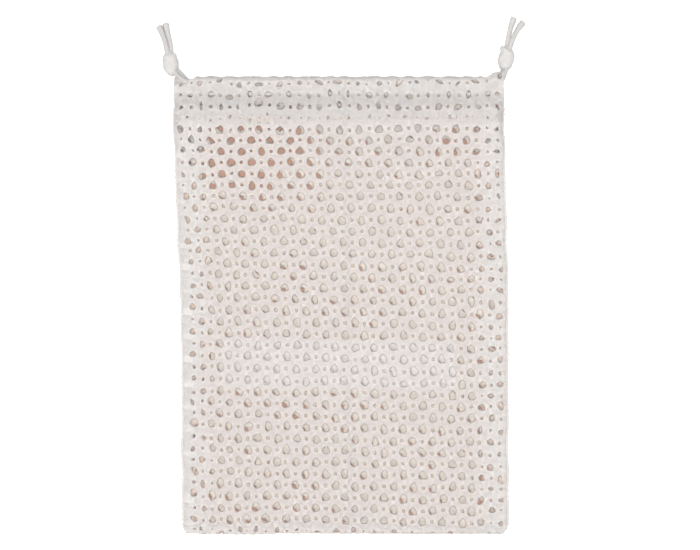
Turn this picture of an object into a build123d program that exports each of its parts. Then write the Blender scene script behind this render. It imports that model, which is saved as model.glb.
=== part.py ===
from build123d import *

import os
from math import radians, tan

# Mesh produce bag with two drawcords, lying on its back with its mouth slack.
# Millimetres. +X runs across the bag, +Y from the folded bottom to the mouth, +Z is up.
# The origin is under the middle of the bag, on the surface that the bag lies on.

# Bag
bag_width = 200.0
bag_height = 274.0
cloth = 0.8  # one ply of the knitted net
inside_gap = 4.6  # slack between back and front
mouth_gap = 4.4  # slack between the two casings
shoulder_length = 27.0  # run over which the front rises to its casing
shoulder_gap = 3.0  # top of the rise to the sewn edge of the turning

# Casing round the mouth
casing_depth = 18.5  # top fold to the sewn hem
hem_overlap = 7.0  # turned edge that is sewn to the outer ply
hem_slope = 4.0  # run over which the turned ply meets the outer one
corner_opening = 14.5  # side seam to casing end, where the cords come out
side_opening = 17.0  # part of the side edge left unsewn below the top fold

# Side seams
seam_allowance = 15.5
allowance_plies = 2
thread = 0.4

# Label
label_width = 141.0
label_height = 29.0
label_thickness = 0.4
label_above_bottom = 86.0
label_off_centre = -2.7
label_margin = 1.5  # edge to stitching
label_clearance = 0.1

# Drawcords
cord_diameter = 3.0
cord_slack = 0.2  # casing ply to cord
cord_spacing = 0.4  # between the two cords in one casing
cord_drop = 7.3  # top fold to the centre of the upper cord
first_bend_inset = {"left": 4.4, "right": 5.4}  # side edge to the cord's first bend
far_turn_inset = {"left": 9.5, "right": 4.0}  # far side edge to the cord's far turn
knot_length = 16.0
knot_diameter = 9.7
knot_lean = {"left": 20.0, "right": -9.0}  # degrees, positive to the left
knot_offset = {"left": (4.2, 8.4), "right": (-1.0, 12.0)}  # out and up from the bag's corner

# Derived places
top = bag_height / 2
bottom = -bag_height / 2
edge = bag_width / 2
hem = top - casing_depth
casing_height = 2 * cloth + 2 * cord_slack + cord_diameter
bag_thickness = 2 * casing_height + mouth_gap
front_height = cloth + inside_gap  # underside of the front panel
fold_radius = cloth + inside_gap / 2
casing_width = bag_width - 2 * corner_opening
casing_fold_radius = casing_height / 2
cord_level = {"low": casing_height / 2, "high": bag_thickness - casing_height / 2}
cord_line = {
    "left": top - cord_drop,
    "right": top - cord_drop - cord_diameter - cord_spacing,
}
outward = {"left": -1, "right": 1}


def across(profile, width=bag_width):
    """A profile in (Y, Z), extruded across the bag."""
    return extrude(Plane.YZ * profile, amount=width / 2, both=True)


def slab(x, y, z):
    """A box between two values on each axis."""
    box = Box(x[1] - x[0], y[1] - y[0], z[1] - z[0])
    return Pos((x[0] + x[1]) / 2, (y[0] + y[1]) / 2, (z[0] + z[1]) / 2) * box


def half_ring(radius, centre, side):
    """The cut end of a folded ply, open away from side along Y."""
    ring = Circle(radius) - Circle(radius - cloth)
    keep = Pos(side * radius, 0) * Rectangle(2 * radius, 2 * radius)
    return Pos(*centre) * (ring & keep)


def over_to_front(shape):
    """The same piece in the front casing, which mirrors the back one."""
    return mirror(shape, about=Plane.XY.offset(bag_thickness / 2))


def back_panel():
    sheet = slab((-edge, edge), (bottom + fold_radius, top - casing_fold_radius), (0, cloth))
    return sheet - label(label_clearance)


def front_panel():
    """The front lies flat, then rises over the shoulder to the outside of its casing."""
    low = front_height + cloth / 2
    high = bag_thickness - cloth / 2
    shoulder_top = hem - hem_overlap - shoulder_gap
    middle = FilletPolyline(
        (bottom + fold_radius, low),
        (shoulder_top - shoulder_length, low),
        (shoulder_top, high),
        (top - casing_fold_radius, high),
        radius=shoulder_length / 2,
    )
    return across(trace(middle, cloth))


def bottom_fold():
    return across(half_ring(fold_radius, (bottom + fold_radius, fold_radius), -1))


def casing_turning():
    """The ply turned in at the mouth: fold, inner ply, slope and sewn edge."""
    start = top - casing_fold_radius
    inner = casing_height - cloth / 2
    sewn = cloth * 3 / 2
    fold = half_ring(casing_fold_radius, (start, casing_fold_radius), 1)
    turned = FilletPolyline(
        (start, inner),
        (hem + hem_slope, inner),
        (hem, sewn),
        (hem - hem_overlap, sewn),
        radius=cloth,
    )
    return across(fold + trace(turned, cloth), casing_width)


def hem_stitching():
    """A row of thread on the sewn edge of the turning."""
    y = hem - hem_overlap / 2
    level = 2 * cloth
    return slab((-casing_width / 2, casing_width / 2), (y - thread, y + thread), (level, level + thread))


def seam_wall(side):
    """The sewn side edge, between the back and the front, up to the cord opening."""
    edge_strip = slab(
        (edge - cloth, edge),
        (bottom + fold_radius, top - side_opening),
        (cloth, bag_thickness),
    )
    wall = (edge_strip - front_panel()).solids().sort_by(Axis.Z)[0]
    return wall if side == "right" else mirror(wall, about=Plane.YZ)


def allowance(side):
    """Two plies turned inside along the seam, lying on the back panel."""
    outer = edge - cloth
    plies = slab(
        (outer - seam_allowance, outer),
        (bottom + fold_radius, hem - hem_overlap),
        (cloth, cloth * (1 + allowance_plies)),
    )
    return plies if side == "right" else mirror(plies, about=Plane.YZ)


def allowance_stitching(side):
    """Overlock thread on the inner edge of the allowance."""
    inner = edge - cloth - seam_allowance
    level = cloth * (1 + allowance_plies)
    bead = slab(
        (inner, inner + 4 * thread),
        (bottom + fold_radius, hem - hem_overlap),
        (level, level + thread),
    )
    return bead if side == "right" else mirror(bead, about=Plane.YZ)


def label(grow=0.0):
    middle = Pos(label_off_centre, bottom + label_above_bottom + label_height / 2, label_thickness / 2)
    return middle * Box(label_width + 2 * grow, label_height + 2 * grow, label_thickness)


def label_patch():
    return label() - label_stitching()


def label_stitching():
    """A frame of thread, sunk in the outer face of the label."""
    depth = thread / 2
    middle = Pos(label_off_centre, bottom + label_above_bottom + label_height / 2, depth / 2)
    inset = 2 * label_margin
    around = Box(label_width - inset, label_height - inset, depth)
    within = Box(label_width - inset - 2 * thread, label_height - inset - 2 * thread, depth)
    return middle * (around - within)


# The routes outside the casing, as (out, up, level) from the bag's corner: out from the side
# edge, up from the top fold, and level above the surface.
# Each cord's two ends run from inside the knot towards the first bend, in the casing opening.
# The high strand comes from the front casing and the low one from the back casing.
cord_exit = {
    "left": {
        "high": [(3.3, 4.0, 6.5), (1.7, -0.6, 7.2)],
        "low": [(2.1, 4.4, 3.2), (0.2, -0.8, 2.6)],
    },
    "right": {
        "high": [(-1.1, 7.4, 6.5), (-2.0, 0.5, 7.4)],
        "low": [(-2.4, 7.6, 3.2), (-3.0, 0.8, 2.6)],
    },
}

# The loose ends, from inside the knot to the cut tip on the surface.
cord_end = {
    "left_cord_end_1": [(6.6, 13.0, 6.2), (7.8, 18.6, 5.8), (9.6, 25.4, 3.3), (11.3, 31.8, 1.6)],
    "left_cord_end_2": [(4.9, 13.2, 3.6), (5.4, 19.4, 3.1), (6.0, 26.0, 2.1), (7.0, 32.8, 1.6)],
    "right_cord_end_1": [(-0.8, 16.6, 3.7), (0.3, 23.0, 3.3), (1.9, 30.0, 2.3), (3.3, 36.9, 1.6)],
    "right_cord_end_2": [(0.7, 16.4, 6.3), (2.7, 22.3, 5.9), (5.9, 28.4, 3.4), (9.1, 33.9, 1.6)],
}


def from_corner(side, out, up, level):
    """A place given from the bag's top corner on this side."""
    return (outward[side] * (edge + out), top + up, level)


def cord_tube(name, points):
    """A round cord of straight runs joined by arcs, each as large as its runs allow."""
    route = [Vector(*point) for point in points]
    radii = []
    for before, corner, after in zip(route, route[1:], route[2:]):
        arriving, leaving = corner - before, after - corner
        half_turn = radians(arriving.get_angle(leaving)) / 2
        radii.append(0.45 * min(arriving.length, leaving.length) / tan(half_turn))
    path = FilletPolyline(*route, radius=radii)
    section = Plane(path @ 0, z_dir=path % 0) * Circle(cord_diameter / 2)
    tube = sweep(section, path)
    true_volume = section.area * path.length
    print(name, "radii", [round(r, 1) for r in radii], "length", round(path.length, 1),
          "volume share", round(tube.volume / true_volume, 4))
    return tube


def drawcord(side):
    """Both strands from the knot, through both casings, round the far corner."""
    line = cord_line[side]
    near = outward[side] * (edge - first_bend_inset[side])
    far = -outward[side] * (edge - far_turn_inset[side])
    high, low = cord_level["high"], cord_level["low"]
    leaving = {level: [from_corner(side, *p) for p in cord_exit[side][level]] for level in cord_level}
    points = [
        *leaving["high"],
        (near, line, high),
        (far, line, high),
        (far, line, low),
        (near, line, low),
        *reversed(leaving["low"]),
    ]
    return cord_tube(side + "_drawcord", points)


def knot(side, strands):
    """The outer shape of the pulled knot, with sockets for the strands that pass through it."""
    half = Ellipse(knot_length / 2, knot_diameter / 2)
    half &= Pos(0, knot_diameter / 2) * Rectangle(knot_length, knot_diameter)
    egg = revolve(half, axis=Axis.X)
    centre = from_corner(side, *knot_offset[side], knot_diameter / 2)
    placed = Pos(*centre) * Rot(0, 0, 90 + knot_lean[side]) * egg
    for strand in strands:
        placed -= strand
    return placed


# The bag itself
parts = {
    "back_panel": back_panel(),
    "front_panel": front_panel(),
    "bottom_fold": bottom_fold(),
    "back_casing_turning": casing_turning(),
    "front_casing_turning": over_to_front(casing_turning()),
    "back_hem_stitching": hem_stitching(),
    "front_hem_stitching": over_to_front(hem_stitching()),
    "label_patch": label_patch(),
    "label_stitching": label_stitching(),
}
for side in outward:
    parts[side + "_side_seam"] = seam_wall(side)
    parts[side + "_seam_allowance"] = allowance(side)
    parts[side + "_seam_stitching"] = allowance_stitching(side)

# The drawcords
for side in outward:
    cord = drawcord(side)
    ends = {
        name: cord_tube(name, [from_corner(side, *p) for p in points])
        for name, points in cord_end.items()
        if name.startswith(side)
    }
    parts[side + "_drawcord"] = cord
    parts[side + "_knot"] = knot(side, [cord, *ends.values()])
    parts.update(ends)

os.makedirs("parts", exist_ok=True)
for name, shape in parts.items():
    export_step(shape, "parts/" + name + ".step")
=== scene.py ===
import math

import bpy
import numpy as np
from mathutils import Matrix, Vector


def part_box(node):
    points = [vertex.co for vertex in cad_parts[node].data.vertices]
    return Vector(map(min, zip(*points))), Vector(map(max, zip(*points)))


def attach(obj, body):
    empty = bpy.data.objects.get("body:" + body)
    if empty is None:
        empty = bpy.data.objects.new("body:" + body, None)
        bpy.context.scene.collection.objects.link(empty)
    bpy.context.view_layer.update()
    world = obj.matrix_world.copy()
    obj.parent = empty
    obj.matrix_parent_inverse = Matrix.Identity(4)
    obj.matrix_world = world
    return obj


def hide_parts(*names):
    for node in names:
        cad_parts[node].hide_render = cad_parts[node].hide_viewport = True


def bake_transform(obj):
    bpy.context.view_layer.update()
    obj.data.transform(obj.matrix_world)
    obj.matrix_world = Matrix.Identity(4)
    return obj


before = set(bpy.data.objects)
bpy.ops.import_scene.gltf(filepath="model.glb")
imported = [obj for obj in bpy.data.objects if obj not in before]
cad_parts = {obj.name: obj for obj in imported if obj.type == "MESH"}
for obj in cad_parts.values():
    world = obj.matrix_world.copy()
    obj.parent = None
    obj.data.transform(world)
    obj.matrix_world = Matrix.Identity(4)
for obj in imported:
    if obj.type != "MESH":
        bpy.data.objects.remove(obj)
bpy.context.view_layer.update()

bl_info = {
    "name": "Mesh produce bag",
    "version": (1, 0, 0),
    "blender": (4, 5, 0),
    "location": "3D View > Sidebar > Bag",
    "description": "Knits, sews and laces a cotton net bag round its packed model",
    "category": "Object",
}

MM = 0.001

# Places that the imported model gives, in metres
FRONT_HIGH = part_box("front_panel")[1]
TURNING_LOW, TURNING_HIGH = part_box("back_casing_turning")
FOLD_LOW, FOLD_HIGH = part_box("bottom_fold")
ALLOWANCE_LOW, ALLOWANCE_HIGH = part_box("right_seam_allowance")
HEM_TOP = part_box("back_hem_stitching")[1][1]
LABEL_LOW, LABEL_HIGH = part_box("label_patch")
EDGE = FRONT_HIGH[0]
TOP = TURNING_HIGH[1]
BOTTOM = FOLD_LOW[1]
BAG_THICKNESS = FRONT_HIGH[2]
CASING_HEIGHT = TURNING_HIGH[2]
CASING_EDGE = TURNING_HIGH[0]
HEM = TURNING_LOW[1]
HEM_MIDDLE = (HEM + HEM_TOP) / 2
SIDES = {"left": -1, "right": 1}

# The net's lattice
COLUMN_PITCH = 5.92 * MM
ROW_PITCH = 6.9 * MM
PLY = 1.0 * MM  # one ply of net, rounded bars included


# ---------------------------------------------------------------- settings


def metres(name, description, default):
    """A size that a user may set, in metres."""
    return bpy.props.FloatProperty(
        name=name, description=description, default=default, min=0.0, unit="LENGTH", precision=5
    )


def paint(name, description, default):
    """A colour that a user may set."""
    return bpy.props.FloatVectorProperty(
        name=name, description=description, default=default, size=3, min=0.0, max=1.0, subtype="COLOR"
    )


class NetSettings(bpy.types.PropertyGroup):
    """The knitted net."""

    column_pitch: metres("Column pitch", "Opening to opening across the bag", COLUMN_PITCH)
    row_pitch: metres("Row pitch", "Opening to opening along the bag", ROW_PITCH)
    opening_width: metres("Opening width", "Width of a large opening", 4.0 * MM)
    opening_height: metres("Opening height", "Height of a large opening", 4.5 * MM)
    small_opening: metres("Small opening", "Diameter of a small opening", 1.7 * MM)
    thickness: metres("Thickness", "One ply of the net", PLY)
    yarn: paint("Yarn", "Unbleached cotton yarn", (0.705, 0.675, 0.655))


class CordSettings(bpy.types.PropertyGroup):
    """The drawcords."""

    diameter: metres("Diameter", "Braided drawcord", 3.0 * MM)
    cotton: paint("Cotton", "Braided cotton cord", (0.585, 0.57, 0.56))


class SewingSettings(bpy.types.PropertyGroup):
    """Thread, stitches and the label."""

    thread: metres("Thread", "Diameter of the sewing thread", 0.45 * MM)
    stitch: metres("Stitch", "Length of one stitch", 2.6 * MM)
    overlock: metres("Overlock pitch", "Spacing of the overlock loops", 2.2 * MM)
    thread_colour: paint("Thread colour", "Spun cotton thread", (0.66, 0.635, 0.61))
    label_colour: paint("Label colour", "Plain-woven cotton tape", (0.90, 0.885, 0.86))


class StageSettings(bpy.types.PropertyGroup):
    """Camera, light and floor."""

    lens: bpy.props.FloatProperty(name="Lens", description="Focal length in millimetres", default=100.0)
    view_width: metres("View width", "Width that the camera takes in on the floor", 424.0 * MM)
    table: paint("Table", "Table top that shows through the net", (0.55, 0.35, 0.275))
    floor: paint("Floor", "Paper round the bag", (0.93, 0.93, 0.93))


SETTINGS = {
    "bag_net": NetSettings,
    "bag_cord": CordSettings,
    "bag_sewing": SewingSettings,
    "bag_stage": StageSettings,
}


# ---------------------------------------------------------------- materials

WHITE = (1.0, 1.0, 1.0)
BLACK = (0.0, 0.0, 0.0)
SOFT_STEP = ((0.3, 0.0), (0.7, 1.0))  # makes a noise's middle steeper
TABLE_BOUNCE_TINT = (1.28, 1.02, 0.88)  # painted bounce light: the tan table's light, painted on the cloth in the openings
CASING_BOUNCE_TINT = (1.2, 1.09, 1.03)  # the same painted bounce light inside the casing, where more cloth lies under it
LABEL_BOUNCE_TINT = (1.10, 1.035, 1.02)  # painted bounce light of the white label, in the openings over it
LABEL_LIGHT = (1.018, 0.995, 0.992)  # and painted on the cloth over it
LABEL_FADE = 3 * MM
# Painted light: the table's light on the cloth, inside the seam allowances and not over the label
TABLE_LIGHT = {"front": (0.99, 0.951, 0.945), "back": (1.0, 0.945, 0.88)}
TABLE_FADE = 12 * MM
# Painted shade: how much greyer the cloth is painted on its way up, where it lies doubled and gathered:
# the hem, the gathers, the cords, and the top fold turning from the light
CASING_SHADE = (
    (0.20, 0.0), (0.275, 0.50), (0.45, 0.50), (0.49, 0.95),
    (0.62, 0.95), (0.67, 0.15), (0.84, 0.20), (0.90, 1.0),
)
CASING_SHADE_START = 100 * MM
CASING_SHADE_RUN = 40 * MM
LABEL_THREADS = 700.0  # to the metre, a light and a dark one each
TABLE_INSET = 2.5 * MM  # how far inside the bag's outline the table stops
PAPER_GLOW = 0.16


class Number:
    """A value in a node tree. Sums on it add the Math nodes that work them out."""

    def __init__(self, tree, socket):
        self.tree = tree
        self.socket = socket

    def _with(self, operation, *terms):
        made = self.tree.node("ShaderNodeMath", {"operation": operation}, dict(enumerate(terms)))
        return Number(self.tree, made.outputs[0])

    def __add__(self, other):
        return self._with("ADD", self, other)

    def __radd__(self, other):
        return self._with("ADD", other, self)

    def __sub__(self, other):
        return self._with("SUBTRACT", self, other)

    def __rsub__(self, other):
        return self._with("SUBTRACT", other, self)

    def __mul__(self, other):
        return self._with("MULTIPLY", self, other)

    def __rmul__(self, other):
        return self._with("MULTIPLY", other, self)

    def __lt__(self, other):
        return self._with("LESS_THAN", self, other)

    def __abs__(self):
        return self._with("ABSOLUTE", self)


class Tree:
    """A node tree, with its shader and the nodes that feed it."""

    def __init__(self, owner, shader):
        owner.use_nodes = True
        self.nodes = owner.node_tree.nodes
        self.links = owner.node_tree.links
        self.shader = self.nodes[shader]

    def node(self, kind, settings=None, sockets=None):
        """Any node: its settings are set first, then its sockets get their values or links."""
        made = self.nodes.new(kind)
        for key, value in (settings or {}).items():
            if key == "stops":
                self._stops(made.color_ramp.elements, value)
            else:
                setattr(made, key, value)
        for key, value in (sockets or {}).items():
            self.feed(made.inputs[key], value)
        return made

    @staticmethod
    def _stops(elements, stops):
        while len(elements) < len(stops):
            elements.new(0.5)
        for element, (position, grey) in zip(elements, stops):
            element.position = position
            element.color = (grey, grey, grey, 1)

    def feed(self, socket, value):
        """Links a node's output to a socket, or sets the socket to a plain value."""
        if isinstance(value, Number):
            value = value.socket
        if isinstance(value, bpy.types.NodeSocket):
            self.links.new(value, socket)
        elif isinstance(value, tuple) and len(value) == 3 and socket.type == "RGBA":
            socket.default_value = (*value, 1)
        else:
            socket.default_value = value

    def camera_ray(self):
        """1 where the camera looks, 0 for light that reaches the scene."""
        return Number(self, self.node("ShaderNodeLightPath").outputs["Is Camera Ray"])


class Finish(Tree):
    """One material, made of a Principled shader and the nodes that feed it."""

    def __init__(self, name):
        self.material = bpy.data.materials.new(name)
        super().__init__(self.material, "Principled BSDF")
        self.place = self.node("ShaderNodeTexCoord").outputs["Object"]

    def plan(self):
        """The place's X and Y."""
        split = self.node("ShaderNodeSeparateXYZ", {}, {0: self.place})
        return [Number(self, split.outputs[axis]) for axis in (0, 1)]

    def noise(self, size, detail=2.0, stretch=None, roughness=0.5):
        """Noise from 0 to 1 with features of about that size, in metres."""
        place = self.place
        if stretch:
            place = self.node("ShaderNodeMapping", {}, {"Vector": place, "Scale": stretch}).outputs[0]
        sockets = {"Vector": place, "Scale": 1 / size, "Detail": detail, "Roughness": roughness}
        return Number(self, self.node("ShaderNodeTexNoise", {}, sockets).outputs[0])

    def ramp(self, value, stops):
        """A value reshaped through grey stops, given as (position, shade)."""
        made = self.node("ShaderNodeValToRGB", {"stops": stops}, {0: value})
        return Number(self, made.outputs[0])

    def mix(self, factor, first, second, blend="MIX"):
        """A colour from first, at factor 0, to second, or to the two blended, at factor 1."""
        settings = {"data_type": "RGBA", "blend_type": blend}
        return self.node("ShaderNodeMix", settings, {0: factor, 6: first, 7: second}).outputs[2]

    def twist(self, across, distortion):
        """A sine wave from 0 to 1 along the twist that a piece stores at its corners."""
        made = self.node("ShaderNodeAttribute", {"attribute_name": "twist"})
        return self.wave(across, made.outputs["Vector"], distortion)

    def wave(self, across, place, distortion):
        """A sine wave from 0 to 1, one every unit of place along X."""
        sockets = {"Vector": place, "Scale": across, "Distortion": distortion}
        return Number(self, self.node("ShaderNodeTexWave", {"bands_direction": "X"}, sockets).outputs[1])

    def openness(self, samples, distance):
        """1 in the open, less where faces close in within a distance."""
        made = self.node("ShaderNodeAmbientOcclusion", {"samples": samples}, {"Distance": distance})
        return Number(self, made.outputs["AO"])

    def within(self, low, high, fade):
        """1 inside an upright rectangle of the plan, 0 outside it, with an edge that fades."""
        mask = 1.0
        for along, start, end in zip(self.plan(), low, high):
            off = along - float(start + end) / 2
            inside = (float(end - start) / 2 - abs(off)) * (1.0 / fade) + 0.5
            mask = self.ramp(inside, ((0.0, 0.0), (1.0, 1.0))) * mask
        return mask

    def surface(self, colour, roughness, height, depth, **constants):
        """Feeds the shader: colour, roughness, a bump of that depth in metres, and plain values."""
        bump = self.node("ShaderNodeBump", {}, {"Height": height, "Distance": depth, "Strength": 1.0})
        fed = {"Base Color": colour, "Roughness": roughness, "Normal": bump.outputs[0]}
        fed["Subsurface Radius"] = (1.0, 0.9, 0.8)
        for key, value in (*fed.items(), *constants.items()):
            self.feed(self.shader.inputs[key.replace("_", " ")], value)
        return self.material


def shade(colour, factor):
    """A colour made lighter or darker."""
    return tuple(min(1.0, c * factor) for c in colour)


def tinted(colour, tint):
    """A colour seen in a tinted light."""
    return tuple(c * t for c, t in zip(colour, tint))


def net_finish(name, yarn, bounce_tint=TABLE_BOUNCE_TINT, table_tint=WHITE):
    """Soft spun cotton: twisted plies along each bar, loose fibre, uneven natural colour, with painted
    light and shade: the table's and the label's bounce light, and painted shade up the casing.
    """
    f = Finish(name)
    over_label = f.within(LABEL_LOW, LABEL_HIGH, LABEL_FADE)
    over_table = f.within((-ALLOWANCE_LOW[0], BOTTOM), (ALLOWANCE_LOW[0], SHOULDER[1]), TABLE_FADE)
    cloud = f.noise(28 * MM, 3)
    fleck = f.noise(1.3 * MM, 3, roughness=0.7)
    fibre = f.noise(0.35 * MM, 3, roughness=0.7)
    twist = f.twist(3.2, 1.5)
    warm = f.mix(cloud, tinted(yarn, (1.0, 0.97, 0.965)), tinted(yarn, (1.0, 1.01, 1.0)))
    flecked = f.mix(f.ramp(fleck, SOFT_STEP), shade(yarn, 0.84), shade(yarn, 1.10))
    spun = f.mix(twist * 0.22, f.mix(0.65, warm, flecked), shade(yarn, 0.86))
    # painted shade: greyer up the bag, over the hem, the gathers, the cords and the top fold
    up = (f.plan()[1] - CASING_SHADE_START) * (1.0 / CASING_SHADE_RUN)
    spun = f.mix(f.ramp(up, CASING_SHADE), spun, shade(yarn, 0.80))
    # painted bounce light: where faces close in round the openings, the yarn takes the table's light, or
    # the label's over the label
    bounce_mask = f.ramp(f.openness(8, 5 * MM), ((0.25, 1.0), (0.80, 0.0)))
    bounce_lit = f.mix(over_label, tinted(yarn, bounce_tint), tinted(yarn, LABEL_BOUNCE_TINT))
    # painted light on the whole cloth: the table's inside the allowances, the label's over the label
    light = f.mix(over_table - over_label, f.mix(over_label, WHITE, LABEL_LIGHT), table_tint)
    colour = f.mix(1.0, f.mix(bounce_mask, spun, bounce_lit), light, "MULTIPLY")
    height = 0.55 * twist + 0.45 * fibre
    soft = {"Subsurface_Weight": 0.4, "Subsurface_Scale": 1.4 * MM}
    return f.surface(colour, 0.82 + 0.14 * fibre, height, 0.12 * MM, **soft)


def cord_finish(cotton):
    """Braided cotton cord: the strands' diagonals come from the mesh, the fibre from here."""
    f = Finish("braided_cotton_cord")
    fibre = f.noise(0.3 * MM, 3, roughness=0.7)
    cloud = f.noise(1.2 * MM, 3, roughness=0.7)
    strand = f.twist(5.0, 0.6)
    tone = f.mix(f.ramp(cloud, SOFT_STEP), shade(cotton, 0.88), shade(cotton, 1.07))
    colour = f.mix(strand * 0.3, tone, tinted(cotton, (0.86, 0.86, 0.87)))
    dull = {"Sheen_Weight": 0.1, "Specular_IOR_Level": 0.25}
    return f.surface(colour, 0.8 + 0.15 * fibre, 0.5 * strand + 0.5 * fibre, 0.1 * MM, **dull)


def thread_finish(tone):
    """Spun sewing thread with a tight twist."""
    f = Finish("sewing_thread")
    twist = f.twist(6.0, 0.3)
    fibre = f.noise(0.2 * MM, 2)
    colour = f.mix(twist * 0.35, tone, shade(tone, 0.8))
    return f.surface(colour, 0.7 + 0.2 * fibre, twist, 0.05 * MM, Specular_IOR_Level=0.3)


def label_finish(tone):
    """Plain-woven cotton tape: warp and weft, slubs and soft creases."""
    f = Finish("woven_label_cotton")
    threads = []
    for along in f.plan():
        place = f.node("ShaderNodeCombineXYZ", {}, {0: along * LABEL_THREADS})
        threads.append(f.wave(1.0, place.outputs[0], 0.4))
    slub = f.noise(3 * MM, 3, (1.0, 9.0, 1.0))
    weave = 0.5 * threads[0] + 0.5 * threads[1]
    colour = f.mix(weave, shade(tone, 0.9), f.mix(slub, shade(tone, 0.95), shade(tone, 1.04)))
    dull = {"Sheen_Weight": 0.05, "Specular_IOR_Level": 0.25}
    return f.surface(colour, 0.78 + 0.15 * slub, weave, 0.1 * MM, **dull)


def table_finish(settings):
    """White paper round the bag, and the tan table top that lies under it and shows through."""
    f = Finish("floor")
    hidden = f.ramp(f.openness(24, 22 * MM), ((0.58, 1.0), (0.70, 0.0)))
    across, along = f.plan()
    across = across + along * (LEAN / TOP)
    for place, reach in ((across, EDGE - TABLE_INSET), (along, TOP - TABLE_INSET)):
        hidden = hidden * (abs(place) < reach)
    table = tuple(settings.table)
    wood = f.mix(f.noise(9 * MM, 4), shade(table, 0.85), shade(table, 1.12))
    glow = f.mix(f.camera_ray() * (1.0 - hidden), BLACK, shade(WHITE, PAPER_GLOW))
    fed = {
        "Base Color": f.mix(hidden, tuple(settings.floor), wood),
        "Roughness": 0.9,
        "Specular IOR Level": 0.1,
        "Emission Color": glow,
        "Emission Strength": 1.0,
    }
    for key, value in fed.items():
        f.feed(f.shader.inputs[key], value)
    return f.material


# ---------------------------------------------------------------- the cloth's shape

BACK_LEVEL = PLY / 2
FRONT_LEVEL = FOLD_HIGH[2] - 0.4 * MM
OUTER_LEVEL = BAG_THICKNESS - PLY / 2
TOP_FOLD = CASING_HEIGHT / 2
FOLD_LINE = TOP - TOP_FOLD
BOTTOM_LINE = FOLD_HIGH[1]
SHOULDER = (81.5 * MM, 108.5 * MM)  # the front rises over the casing between these heights
SEAM_END = 118 * MM
LAST_COLUMN = 16
CORNER = 0.29  # a small cell's half side, as a share of the pitch
ROLL = 0.8 * MM  # radius of the rolled side seam
NET_EDGE = EDGE - ROLL - 0.4 * MM
EDGE_FLAT = (LAST_COLUMN + CORNER / 3) * COLUMN_PITCH  # the cloth slopes down to its seam from here
EDGE_RUN = 4.3 * MM
CLOTH_EDGE = EDGE_FLAT + EDGE_RUN
LEAN = 2.25 * MM  # the bag lies a little askew
SETTLED = 1.6 * LEAN  # and its lower end goes back across
NARROWED = 0.0105  # how much narrower its lower end is, as a share
CORNER_ROUND = 2.0 * MM
BACK_SLIP = (-2.96 * MM, 3.30 * MM)  # puts the back's openings behind the front's bars
LABEL_LIFT = 0.5 * MM
SLACK = {"back": 0.25 * MM, "front": 0.35 * MM}  # how far the cloth swells
GATHERS = 0.3 * MM
WANDER = 0.5 * MM  # how far the rows and columns stray
SKEW = 2.0 * MM  # how far the lower rows slope, up at one side and down at the other
CROWDED = 3.0 * MM  # how far the lower left columns close up towards the middle
SAG = 1.8 * MM  # how much longer the bag lies than its model
LEFT_SAG = 0.9 * MM  # and its lower left corner again
HEM_DIPS = {"left": -3.0 * MM, "right": -3.2 * MM}
HEM_RISE = 0.4 * MM  # the hem's middle over the model's
SCALLOP = 0.7 * MM  # depth of the waves along the top fold
CORNER_DROP = 3.6 * MM  # the front's left top corner sinks by this
CORNER_PULL = 3.4 * MM  # and the right one is pulled up by its cord

# Where the two plies' openings come to lie over each other: middle, half size in mm, and how far
ALIGNED = (
    ((-58, 92), (48, 22), 1.0),
    ((66, 98), (30, 14), 0.40),
    ((26, 2), (50, 24), 0.22),
    ((-5, -60), (60, 14), 0.20),
    ((-58, -112), (46, 26), 0.10),
    ((50, -90), (40, 30), 0.08),
)


def ease(t):
    """0 to 1, smoothly, as t goes from 0 to 1."""
    t = np.clip(t, 0, 1)
    return t * t * (3 - 2 * t)


def rising(value, start, run):
    """0 up to start, then smoothly to 1 over a run above it."""
    return ease((value - start) / run)


def falling(value, start, run):
    """0 down to start, then smoothly to 1 over a run below it."""
    return ease((start - value) / run)


def ripple(x, y, size, seed):
    """Smooth noise, about -1 to 1, with features of that size."""
    random = np.random.RandomState(seed)
    total = np.zeros(np.broadcast(x, y).shape)
    for turn, start, scale in random.uniform((0, 0, 0.7), (2 * math.pi, 2 * math.pi, 1.6), (7, 3)):
        total += np.sin((x * math.cos(turn) + y * math.sin(turn)) * 2 * math.pi * scale / size + start)
    return total / 2.6


def travelled(line):
    """The length along a line at each of its points."""
    return np.concatenate([[0], np.cumsum(np.linalg.norm(np.diff(line, axis=0), axis=1))])


def bend(centre, radius, start, end):
    """Points round an arc in the section, where angles are in degrees from +Y towards +Z."""
    angles = np.radians(np.linspace(start, end, 40))
    return np.stack([centre[0] + radius * np.cos(angles), centre[1] + radius * np.sin(angles)], 1)


def front_level(y):
    """Height of the front ply's middle over the floor."""
    return FRONT_LEVEL + (OUTER_LEVEL - FRONT_LEVEL) * rising(y, SHOULDER[0], SHOULDER[1] - SHOULDER[0])


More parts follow.
